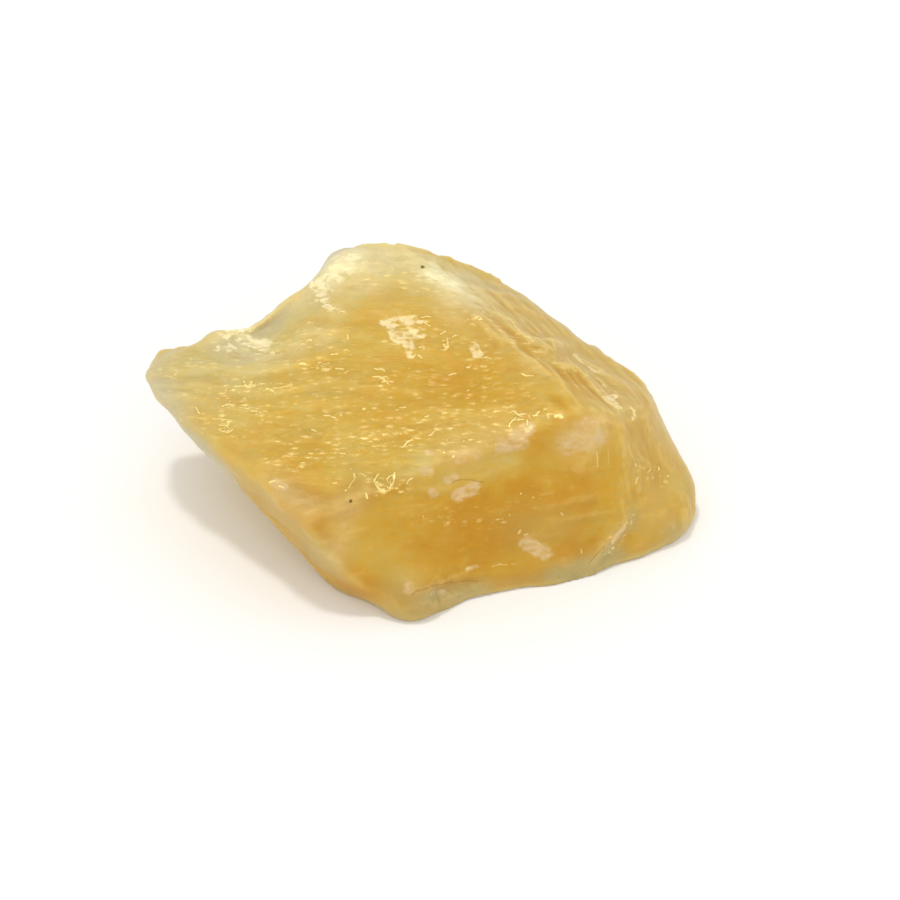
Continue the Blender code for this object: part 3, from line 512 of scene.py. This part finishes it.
def relief_tree(material):
    """Raises the skin by its ledges and layers, and keeps the resting face flat at Z = 0."""
    tree = bpy.data.node_groups.new("cleavage relief", "GeometryNodeTree")
    tree.is_modifier = True
    for way in ("INPUT", "OUTPUT"):
        tree.interface.new_socket("Geometry", in_out=way, socket_type="NodeSocketGeometry")
    for name, size in relief_sizes().items():
        kind = "NodeSocketVector" if isinstance(size, tuple) else "NodeSocketFloat"
        tree.interface.new_socket(name, in_out="INPUT", socket_type=kind)
    given = add(tree, "NodeGroupInput").outputs
    position = add(tree, "GeometryNodeInputPosition")
    place = add(tree, VECTOR_MATH, {0: position, "Scale": 1.0 / MM}, operation="SCALE")
    bare_normal = add(tree, "GeometryNodeInputNormal").outputs["Normal"]
    blur = {"Value": bare_normal, "Iterations": SKIN_ROUNDS}
    even = add(tree, "GeometryNodeBlurAttribute", blur, data_type="FLOAT_VECTOR")
    normal = add(tree, VECTOR_MATH, {0: even}, operation="NORMALIZE")

    shares = {"all": 1.0}
    for name, (look, starts, whole) in FACES.items():
        agreement = add(tree, VECTOR_MATH, {0: normal, 1: look}, operation="DOT_PRODUCT")
        levels = {"Value": agreement, "From Min": starts, "From Max": whole}
        shares[name] = add(tree, MAP_RANGE, levels, interpolation_type="SMOOTHSTEP")

    # Ledges: long treads, each with a short riser.
    to_grain = {"Vector": place, "Angle": math.radians(-GRAIN_TURN)}
    turned = add(tree, ROTATE, to_grain, rotation_type="Z_AXIS")
    ways = add(tree, "ShaderNodeSeparateXYZ", {"Vector": turned}).outputs
    bends = add(tree, VECTOR_MATH, {0: turned, 1: LEDGE_BENDS}, operation="DIVIDE")
    sway = add(tree, NOISE, {"Vector": bends, "Scale": 1.0, "Detail": 2.0})
    presence = add(tree, NOISE, {"Vector": bends, "Scale": 0.9, "Detail": 1.0})
    levels = {"Value": presence, "From Min": LEDGE_SHOWS[0], "From Max": LEDGE_SHOWS[1]}
    shown = add(tree, MAP_RANGE, levels, interpolation_type="SMOOTHSTEP")
    total = 0.0
    for where, (axis, _, _) in LEDGES.items():
        rows = add(tree, MATH, {0: ways[axis], 1: given[where + " Ledge Spacing"]}, operation="DIVIDE")
        wavy = add(tree, MATH, {0: sway, 1: LEDGE_SWAY, 2: rows}, operation="MULTIPLY_ADD")
        part_way = add(tree, MATH, {0: wavy}, operation="FRACT")
        tread = add(tree, "ShaderNodeFloatCurve", {"Value": part_way})
        curve = tread.mapping.curves[0]
        curve.points[0].location = (0.0, 0.0)
        curve.points[-1].location = (1.0, 0.0)
        curve.points.new(LEDGE_RISER, 1.0)
        for point in curve.points:
            point.handle_type = "VECTOR"
        tread.mapping.update()
        step = add(tree, MATH, {0: shown, 1: given[where + " Ledge Step"]}, operation="MULTIPLY")
        ledge = add(tree, MATH, {0: tread, 1: step}, operation="MULTIPLY")
        total = add(tree, MATH, {0: ledge, 1: shares[where], 2: total}, operation="MULTIPLY_ADD")

    for name, (where, turn, _, _, crest) in LAYERS.items():
        rotation = [-math.radians(angle) for angle in turn]
        laid = add(tree, ROTATE, {"Vector": place, "Rotation": rotation}, rotation_type="EULER_XYZ")
        drawn = add(tree, VECTOR_MATH, {0: laid, 1: given[name + " Size"]}, operation="DIVIDE")
        waves = add(tree, NOISE, {"Vector": drawn, "Scale": 1.0, "Detail": 1.5, "Roughness": 0.45})
        swing = add(tree, MATH, {0: waves, 1: 2.0, 2: -1.0}, operation="MULTIPLY_ADD")
        folded = add(tree, MATH, {0: swing}, operation="ABSOLUTE")
        crested = add(tree, MATH, {0: folded, 1: -CREST_SLOPE, 2: CREST_TOP}, operation="MULTIPLY_ADD")
        shape = add(tree, MIX, {"Factor": crest, "A": swing, "B": crested}, data_type="FLOAT")
        height = add(tree, MATH, {0: shape, 1: given[name + " Height"]}, operation="MULTIPLY")
        total = add(tree, MATH, {0: height, 1: shares[where], 2: total}, operation="MULTIPLY_ADD")

    raised = add(tree, MATH, {0: total, 1: MM}, operation="MULTIPLY")
    offset = add(tree, VECTOR_MATH, {0: normal, "Scale": raised}, operation="SCALE")
    moved = add(tree, VECTOR_MATH, {0: position, 1: offset}, operation="ADD")
    parts = add(tree, "ShaderNodeSeparateXYZ", {"Vector": moved}).outputs
    above = add(tree, MATH, {0: parts["Z"], 1: 0.0}, operation="MAXIMUM")
    grounded = add(tree, "ShaderNodeCombineXYZ", {0: parts["X"], 1: parts["Y"], 2: above})
    shaped = add(tree, "GeometryNodeSetPosition", {"Geometry": given["Geometry"], "Position": grounded})
    real = add(tree, "GeometryNodeRealizeInstances", {"Geometry": shaped})
    finish = add(tree, "GeometryNodeSetMaterial", {"Geometry": real, "Material": material})
    add(tree, "NodeGroupOutput", {"Geometry": finish})
    return tree


def raise_relief(piece, material):
    """Runs the relief tree on the piece, with its sizes."""
    sizes = relief_sizes()
    relief = piece.modifiers.new("Relief", "NODES")
    relief.node_group = relief_tree(material)
    for socket in relief.node_group.interface.items_tree:
        if socket.name in sizes:
            relief[socket.identifier] = sizes[socket.name]
    return applied(piece)


# ---------------- stains, clouds and bruises


def spans_of(path):
    """The start and end of each straight stretch of a path, or its one place twice."""
    ends = [np.array(place) for place in path]
    return list(zip(ends, ends[1:])) or [(ends[0], ends[0])]


def away_from(points, start, end):
    """The way to each point from the nearest place of a straight stretch."""
    span = end - start
    way = np.clip((points - start) @ span / max(span @ span, TINY), 0.0, 1.0)
    return points - start - way[:, None] * span


def along(points, paths, radius):
    """1 on the paths, a half at the radius from them, and next to nothing at twice the radius."""
    spans = [span for path in paths for span in spans_of(path)]
    nearest = np.min([(away_from(points, *span) ** 2).sum(axis=1) for span in spans], axis=0)
    return 0.5 ** (nearest / radius**2)


def eased(values, edges, rounds):
    """Each vertex's values, evened out with its neighbours' this many times."""
    ends, others = np.concatenate((edges, edges[:, ::-1])).T
    counts = np.maximum(np.bincount(ends, minlength=len(values)), 1)
    for _ in range(rounds):
        columns = [np.bincount(ends, column[others], len(values)) / counts for column in values.T]
        values = np.stack(columns, axis=1)
    return values


def rows_of(items, name, width, kind=np.float32):
    """What the items of a mesh hold under this name, a row for each."""
    values = np.empty(width * len(items), dtype=kind)
    items.foreach_get(name, values)
    return values.reshape(-1, width)


def nearest_step(points, normals):
    """Where each point lies from the nearest drawn step: along two axes in half widths, then how far.

    The second result is how bright that step is.
    """
    offsets = np.full((len(points), 3), FAR_OFF)
    bright = np.zeros(len(points))
    top_steps = [step for nest in STEPS.values() for step in nest]
    for steps, columns, seen in (
        (top_steps, [0, 1], normals[:, 2] > TOP_UP),
        (FRONT_STEPS + DARK_STEPS, [0, 2], (normals[:, 2] < FRONT_UP) & (normals[:, 1] < -FRONT_AHEAD)),
    ):
        spots = points[:, columns]
        for half_width, shine, *path in steps:
            for start, end in spans_of(path):
                away = away_from(spots, start, end)
                far = np.linalg.norm(away, axis=1)
                nearer = seen & (far < offsets[:, 2])
                offsets[nearer] = np.column_stack((away / half_width, far))[nearer]
                bright[nearer] = shine
    return offsets, bright


def mark_skin(piece):
    """Writes the stains, clouds, bruises, painted glints, worn crests painted paler as a highlight,
    and hollows painted darker as shade onto the skin as attributes.
    """
    mesh = piece.data
    points = rows_of(mesh.vertices, "co", 3) / MM
    normals = rows_of(mesh.vertex_normals, "vector", 3)
    edges = rows_of(mesh.edges, "vertices", 2, np.int32)

    crest = ((points - eased(points, edges, CREST_ROUNDS)) * normals).sum(axis=1, keepdims=True)
    crest = crest - SWELL_TAKEN * eased(crest, edges, SWELL_ROUNDS)
    even = eased(normals, edges, FACE_ROUNDS)
    flatness = np.clip((np.linalg.norm(even, axis=1) - FLAT_FROM) / FLAT_OVER, 0.0, 1.0)
    even = eased(even, edges, FACE_ROUNDS)
    even = even / np.linalg.norm(even, axis=1, keepdims=True)
    shares = {}
    for name, (look, starts, whole) in FACES.items():
        part_way = np.clip((even @ np.array(look) - starts) / (whole - starts), 0.0, 1.0)
        shares[name] = part_way * part_way * (3.0 - 2.0 * part_way)
    shares["other"] = np.clip(1.0 - sum(shares.values()), 0.0, 1.0)
    shares = {name: share / sum(shares.values()) for name, share in shares.items()}
    # Crests and out-turned edges, also worn, are painted paler, a painted highlight. Hollows are painted
    # darker, a painted shade.
    out_turned = np.clip(eased(crest, edges, EDGE_ROUNDS)[:, 0] / CREST_HEIGHT, 0.0, 1.0)
    written = {"crest": crest[:, 0] / CREST_HEIGHT * flatness, "edge": out_turned * (1.0 - flatness)}
    for kind, marks in MARKS.items():
        of_face = OF_FACE.get(kind, {})
        values = sum(of_face.get(name, 0.0) * share for name, share in shares.items())
        for radius, strength, *paths in marks.values():
            amount = strength * along(points, paths, radius)
            values = values + amount if kind in ADDING_UP else np.maximum(values, amount)
        written[kind] = np.clip(values, 0.0, STRONGEST)
    offsets, written["step shine"] = nearest_step(points, even)
    for name, values in written.items():
        attribute = mesh.attributes.new(name, "FLOAT", "POINT")
        attribute.data.foreach_set("value", values.astype(np.float32))
    attribute = mesh.attributes.new("step offset", "FLOAT_VECTOR", "POINT")
    attribute.data.foreach_set("vector", offsets.astype(np.float32).ravel())


# ---------------- material


def honey_calcite():
    """Calcite stained by iron, split along its cleavage by hand and left as it broke.

    It is waxy rather than glassy, because the skin is thousands of tiny steps. Light goes some way
    in, so hollows glow and edges pale. Bruises are milky, as the crushed mineral scatters light.
    The steps of the grain are painted in as fine gold lines, painted glints that stand for the light
    they catch, with painted shade beside some. Crests are painted paler and hollows darker.
    """
    material = bpy.data.materials.new("honey calcite, raw cleavage surface")
    material.use_nodes = True
    tree = material.node_tree
    tree.nodes.clear()
    coordinates = add(tree, "ShaderNodeTexCoord").outputs["Object"]
    place = add(tree, VECTOR_MATH, {0: coordinates, "Scale": 1.0 / MM}, operation="SCALE")
    to_grain = {"Vector": place, "Angle": math.radians(-GRAIN_TURN)}
    grain = add(tree, ROTATE, to_grain, rotation_type="Z_AXIS")
    mark = {}
    for name in (*MARKS, "crest", "edge", "step shine"):
        stored = add(tree, ATTRIBUTE, attribute_name=name, attribute_type="GEOMETRY")
        mark[name] = stored.outputs["Fac"]
    veil = {}
    for axes, table in ((grain, GRAIN_NOISE), (place, FREE_NOISE)):
        for name, (size, octaves) in table.items():
            drawn = add(tree, VECTOR_MATH, {0: axes, 1: size}, operation="DIVIDE")
            veil[name] = add(tree, NOISE, {"Vector": drawn, "Scale": 1.0, "Detail": octaves})
    wobble = veil["wobble"].outputs["Color"]
    shaken, far_in, lot = {}, {}, {}
    for name, (shaken_by, shake, size) in CELLS.items():
        moved = {0: veil[shaken_by].outputs["Color"], 1: shake, 2: grain}
        shaken[name] = add(tree, VECTOR_MATH, moved, operation="MULTIPLY_ADD")
        laid = add(tree, VECTOR_MATH, {0: shaken[name], 1: size}, operation="DIVIDE")
        cell = add(tree, "ShaderNodeTexVoronoi", {"Vector": laid, "Scale": 1.0}, feature="F1").outputs
        far_in[name] = cell["Distance"]
        lot[name] = add(tree, "ShaderNodeSeparateColor", {"Color": cell["Color"]}).outputs
    shard, dash, crumb, splinter = (lot[name] for name in CELLS)

    # Closed loops, here and there, where a noise passes its middle level.
    laid = add(tree, VECTOR_MATH, {0: shaken["splinter"], 1: LOOP_SIZE}, operation="DIVIDE")
    loops = add(tree, NOISE, {"Vector": laid, "Scale": 1.0, "Detail": 1.0})
    off_loop = add(tree, MATH, {0: loops, 1: 0.5}, operation="SUBTRACT")
    off_loop = add(tree, MATH, {0: off_loop}, operation="ABSOLUTE")

    # The drawn steps, with a slight wobble: how many half widths away, and how many mm.
    stored = add(tree, ATTRIBUTE, attribute_name="step offset", attribute_type="GEOMETRY")
    stored = stored.outputs["Vector"]
    far = add(tree, "ShaderNodeSeparateXYZ", {"Vector": stored}).outputs["Z"]
    off_step = {0: wobble, 1: (STEP_WOBBLE, STEP_WOBBLE, 0.0), 2: stored}
    off_step = add(tree, VECTOR_MATH, off_step, operation="MULTIPLY_ADD")
    middle = (0.5 * STEP_WOBBLE, 0.5 * STEP_WOBBLE, 0.0)
    off_step = add(tree, VECTOR_MATH, {0: off_step, 1: middle}, operation="SUBTRACT")
    off_step = add(tree, VECTOR_MATH, {0: off_step, 1: (1.0, 1.0, 0.0)}, operation="MULTIPLY")
    off_step = add(tree, VECTOR_MATH, {0: off_step}, operation="LENGTH").outputs["Value"]
    shadowed = add(tree, MATH, {0: mark["step shine"], 1: -1.0}, operation="MULTIPLY", use_clamp=True)

    # Sums: what each starts from, then what is added and how much of it.
    total = {}
    for name, (start, *terms) in {
        "step": (off_step, (veil["grit"], 1.6)),
        "dash chance": (-0.22, (mark["glints"], 0.62), (veil["clusters"], 1.1), (dash["Red"], -1.0)),
        "crumb chance": (-0.35, (mark["glints"], 0.5), (veil["clusters"], 1.3), (crumb["Red"], -1.0)),
        "dash reach": (0.22, (dash["Blue"], 0.2)),
        "crumb reach": (0.22, (crumb["Blue"], 0.2)),
        "crumb shine": (0.1, (crumb["Green"], 0.45)),
        "haze": (-0.15, (veil["wisps"], 1.5), (shard["Red"], 0.5)),
        "peach": (0.6, (veil["clouds"], 0.8)),
        "grey": (0.7, (veil["motes"], 0.6)),
        "flakes": (0.0, (mark["flakes"], 1.1), (splinter["Red"], 0.9), (veil["motes"], 0.8)),
        "chalk": (-0.65, (mark["chalk"], 1.6), (veil["bruise edge"], 1.3)),
        "milk": (-0.65, (mark["milk"], 1.6), (veil["bruise edge"], 1.3)),
        "rough": (0.34, (veil["motes"], 0.16)),
        "light": (0.80, (shard["Red"], 0.05), (veil["motes"], 0.10), (veil["grit"], 0.12),
            (veil["dust"], 0.10), (mark["deep"], -0.10),
        ),
        # How strong the painted highlight on the worn crests is, with more of it on the folds.
        "crest wear and highlight": (0.16, (mark["folds"], 0.30)),
        "bump": (0.0, (veil["fine steps"], 0.4), (veil["grit"], 0.25)),
    }.items():
        for source, gain in terms:
            start = add(tree, MATH, {0: source, 1: gain, 2: start}, operation="MULTIPLY_ADD")
        total[name] = start

    # Each of these is 0 up to its first level and 1 from its second.
    soft = {}
    for name, (source, low, high) in {
        # Hollows, where the colour is painted darker as shade, and crests, where it is painted paler as a
        # highlight.
        "hollow": (mark["crest"], -0.1, -1.2),
        "crest wear and highlight": (mark["crest"], 0.1, 1.2),
        "warm": (veil["warmth"], 0.50, 0.66),
        "lace": (veil["lace"], 0.34, 0.60),
        "breaks": (veil["breaks"], 0.52, 0.62),
        "near glints": (mark["glints"], 0.05, 0.5),
        "in a nest": (mark["glints"], 0.35, 0.9),
        "chalk": (total["chalk"], 0.4, 1.1),
        "milk": (total["milk"], 0.5, 0.9),
        "flakes": (total["flakes"], 1.50, 2.00),
        "dash lit": (total["dash chance"], 0.0, 0.1),
        "dash halo": (far_in["dash"], 0.60, 0.10),
        "dash": (far_in["dash"], total["dash reach"], 0.10),
        "dash shadow": (dash["Red"], 0.84, 0.88),
        "crumb lit": (total["crumb chance"], 0.0, 0.1),
        "crumb": (far_in["crumb"], total["crumb reach"], 0.06),
        "loop": (off_loop, 0.035, 0.008),
        "step": (total["step"], 1.95, 1.1),
        "round step": (total["step"], 3.8, 2.2),
        "by step": (far, 0.26, 0.20),
        "unbroken": (veil["motes"], 0.2, 0.45),
    }.items():
        levels = {"Value": source, "From Min": low, "From Max": high}
        soft[name] = add(tree, MAP_RANGE, levels, interpolation_type="SMOOTHSTEP")

    # How much of each tone shows: what makes it is multiplied together. The lace that breaks up a
    # chalky bruise or a flake still leaves it a third of its body.
    body = add(tree, MATH, {0: soft["lace"], 1: 0.65, 2: 0.32}, operation="MULTIPLY_ADD")
    product = {}
    for name, (share, *factors) in {
        # The dashes, crumbs, loops and drawn steps, with the halos of the dashes, are painted glints, a
        # painted highlight. The dark tone by some dashes and the fringe round each drawn step are painted
        # shade.
        "dash": (soft["dash"], soft["dash lit"], soft["near glints"]),
        "dash halo": (soft["dash halo"], soft["dash lit"], soft["near glints"], 0.22),
        "dash shadow": (soft["dash halo"], soft["dash shadow"], soft["near glints"], 0.30),
        "crumb": (soft["crumb"], soft["crumb lit"], soft["near glints"], total["crumb shine"]),
        "loop": (soft["loop"], soft["breaks"], soft["in a nest"]),
        "step": (soft["step"], soft["by step"], mark["step shine"], soft["unbroken"]),
        "step shade fringe": (soft["round step"], soft["by step"], mark["step shine"], 0.3),
        "step dark": (soft["step"], soft["by step"], shadowed),
        "haze": (mark["haze"], total["haze"]),
        "peach": (mark["peach"], total["peach"]),
        # Grey: thin clear stone, and painted shade at the low foot and rims.
        "grey": (mark["grey"], total["grey"]),
        "warm": (soft["warm"], 0.22),
        # Worn crests and out-turned edges are painted paler, a painted highlight. The hollows of the
        # folds are painted darker, a painted shade.
        "crest wear and highlight": (soft["crest wear and highlight"], total["crest wear and highlight"]),
        "fold hollow": (soft["hollow"], mark["folds"]),
        "edge": (mark["edge"], 0.12),
        "thin": (mark["thin"],),
        "chalk": (soft["chalk"], body),
        "milk": (soft["milk"], soft["lace"]),
        "flakes": (soft["flakes"], body, 0.9),
    }.items():
        for factor in factors:
            share = add(tree, MATH, {0: share, 1: factor}, operation="MULTIPLY", use_clamp=True)
        product[name] = share

    # The bright steps, painted glints: each has its own shine by chance, and more of it in a nest.
    steps = add(tree, MATH, {0: product["dash"], 1: product["loop"]}, operation="MAXIMUM")
    shine = add(tree, MATH, {0: dash["Green"], 1: 0.55, 2: 0.15}, operation="MULTIPLY_ADD")
    shine = add(tree, MATH, {0: soft["in a nest"], 1: 0.5, 2: shine}, operation="MULTIPLY_ADD")
    bright = add(tree, MATH, {0: steps, 1: shine}, operation="MULTIPLY", use_clamp=True)
    product["bright"] = add(tree, MATH, {0: bright, 1: product["step"]}, operation="MAXIMUM")
    steps = add(tree, MATH, {0: steps, 1: product["step"]}, operation="MAXIMUM")

    # Iron: the marks, then clouds, streaks along the grain and upright ones, and motes. It then deepens
    # in the hollows of the skin and of the folds, as painted shade. Each veil lies round a half, so what
    # they add between them comes off first.
    upright = add(tree, MATH, {0: veil["upright"], 1: 0.5}, operation="SUBTRACT")
    upright = add(tree, MATH, {0: upright, 1: mark["striae"]}, operation="MULTIPLY")
    iron = add(tree, MATH, {0: mark["iron"], 1: 0.60}, operation="SUBTRACT")
    for source, gain in (
        (veil["clouds"], 0.48),
        (veil["streaks"], 0.14),
        (veil["motes"], 0.26),
        (veil["grit"], 0.20),
        (shard["Red"], 0.12),
        (upright, 0.42),
        (soft["hollow"], 0.04),
        (product["fold hollow"], 0.34),
    ):
        iron = add(tree, MATH, {0: source, 1: gain, 2: iron}, operation="MULTIPLY_ADD")
    stained = add(tree, "ShaderNodeValToRGB", {"Fac": iron})
    stops = stained.color_ramp.elements
    for at, tone in IRON_COLOURS.items():
        stop = stops[-1] if at == 1.0 else stops[0] if at == 0.0 else stops.new(at)
        stop.color = linear(tone)

    colour = stained
    for name, tone in TONES.items():
        painted = {"Factor": product[name], "A": colour, "B": linear(tone)}
        colour = add(tree, MIX, painted, data_type="RGBA")
    colour = add(tree, "ShaderNodeHueSaturation", {"Color": colour, "Value": total["light"]})
    moved = {0: wobble, 1: [SPECK_WOBBLE] * 3, 2: place}
    jitter = add(tree, VECTOR_MATH, moved, operation="MULTIPLY_ADD")
    # A dark speck is whole up to half its radius, and gone a little outside it.
    for spot, radius in DARK_SPECKS.values():
        centre = [part + 0.5 * SPECK_WOBBLE for part in spot]
        away = add(tree, VECTOR_MATH, {0: jitter, 1: centre}, operation="DISTANCE")
        levels = {"Value": away, "From Min": 1.3 * radius, "From Max": 0.5 * radius, "To Max": 0.85}
        dark = add(tree, MAP_RANGE, levels, interpolation_type="SMOOTHSTEP")
        colour = add(tree, MIX, {"Factor": dark, "A": colour, "B": linear(SOOT)}, data_type="RGBA")

    roughnesses = {"Factor": product["bright"], "A": total["rough"], "B": STEP_ROUGHNESS}
    rough = add(tree, MIX, roughnesses, data_type="FLOAT")
    height = add(tree, MATH, {0: steps, 1: 0.35, 2: total["bump"]}, operation="MULTIPLY_ADD")
    bump = add(tree, "ShaderNodeBump", {"Height": height, "Strength": 0.9, "Distance": BUMP_DEPTH * MM})
    look = {
        "Base Color": colour,
        "Roughness": rough,
        "Normal": bump,
        "IOR": 1.58,
        "Specular Tint": (1.0, 0.82, 0.35, 1.0),
        "Subsurface Weight": 1.0,
        "Subsurface Radius": (1.0, 0.85, 0.65),
        "Subsurface Scale": GLOW_DEPTH * MM,
    }
    surface = add(tree, "ShaderNodeBsdfPrincipled", look)
    add(tree, "ShaderNodeOutputMaterial", {"Surface": surface})
    return material


# ---------------- the stone


def bare_copy(node):
    """A copy of the solid, its loose triangles joined up."""
    mesh = node.data.copy()
    shape = bmesh.new()
    shape.from_mesh(mesh)
    bmesh.ops.remove_doubles(shape, verts=shape.verts, dist=SAME_CORNER * MM)
    shape.to_mesh(mesh)
    shape.free()
    mesh.materials.clear()
    return put_in_scene("calcite_stone", mesh)


def even_skin(piece):
    """One closed skin of small even faces over the stone, with the facets relaxed."""
    remesh = piece.modifiers.new("Skin", "REMESH")
    remesh.mode = "VOXEL"
    remesh.voxel_size = VOXEL * MM
    relax = piece.modifiers.new("Relax", "SMOOTH")
    relax.factor = 0.5
    relax.iterations = SMOOTHING_ROUNDS
    return applied(piece)


def make_stone():
    """The whole stone: an even skin over the solid, raised, marked and given its finish."""
    material = honey_calcite()
    stone = bare_copy(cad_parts["calcite_piece"])
    even_skin(stone)
    raise_relief(stone, material)
    mark_skin(stone)
    stone.data.shade_smooth()
    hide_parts("calcite_piece")
    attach(stone, "root")


# ---------------- table, light and camera

TABLE_HALF = 3000.0
TABLE_ROUGHNESS = 0.9
ROOM_STRENGTH = 0.82
# Softboxes: where each stands and how wide it is, its power in watts and its colour.
SOFTBOXES = {
    "key softbox": ((-100.0, -20.0, 750.0), 70.0, 1.4, "#fffdfa"),
    "front softbox": ((140.0, -620.0, 450.0), 500.0, 0.8, "#ffffff"),
}
LIGHT_AIM = (0.0, 0.0, 10.0)
CAMERA_PLACE = (3.005, -277.75, 238.8)
CAMERA_TURN = 50.0  # from straight down, so it looks down at the stone from 40 degrees above the table
LENS, SENSOR = 132.47, 36.0


def make_table():
    """The plain surface that the stone lies on: uncoated white card, so it shows no gloss."""
    mesh = bpy.data.meshes.new("table")
    shape = bmesh.new()
    bmesh.ops.create_grid(shape, x_segments=1, y_segments=1, size=TABLE_HALF * MM)
    shape.to_mesh(mesh)
    shape.free()
    table = put_in_scene("table", mesh)
    material = bpy.data.materials.new("matt white card")
    material.use_nodes = True
    surface = material.node_tree.nodes["Principled BSDF"]
    surface.inputs["Base Color"].default_value = linear("#fbfbfa")
    surface.inputs["Roughness"].default_value = TABLE_ROUGHNESS
    mesh.materials.append(material)


def make_light():
    """A white room and two square softboxes, turned to the stone."""
    world = bpy.data.worlds.new("white room")
    world.use_nodes = True
    room = world.node_tree.nodes["Background"].inputs
    room["Color"].default_value = linear("#ffffff")
    room["Strength"].default_value = ROOM_STRENGTH
    bpy.context.scene.world = world
    for name, (place, width, watts, colour) in SOFTBOXES.items():
        light = bpy.data.lights.new(name, "AREA")
        light.shape = "SQUARE"
        light.size = width * MM
        light.energy = watts
        light.color = linear(colour)[:3]
        lamp = put_in_scene(name, light)
        lamp.location = metres(place)
        lamp.rotation_euler = (metres(LIGHT_AIM) - metres(place)).to_track_quat("-Z", "Y").to_euler()


def make_camera():
    """Looks at the stone from in front and above, and keeps all of it sharp."""
    camera = bpy.data.cameras.new("camera")
    camera.sensor_width = SENSOR
    camera.lens = LENS
    camera.dof.use_dof = False
    holder = put_in_scene("camera", camera)
    holder.location = metres(CAMERA_PLACE)
    holder.rotation_euler = (math.radians(CAMERA_TURN), 0.0, 0.0)
    bpy.context.scene.camera = holder


make_camera()
make_table()
make_light()
make_stone()
bpy.context.scene.view_settings.view_transform = "Standard"
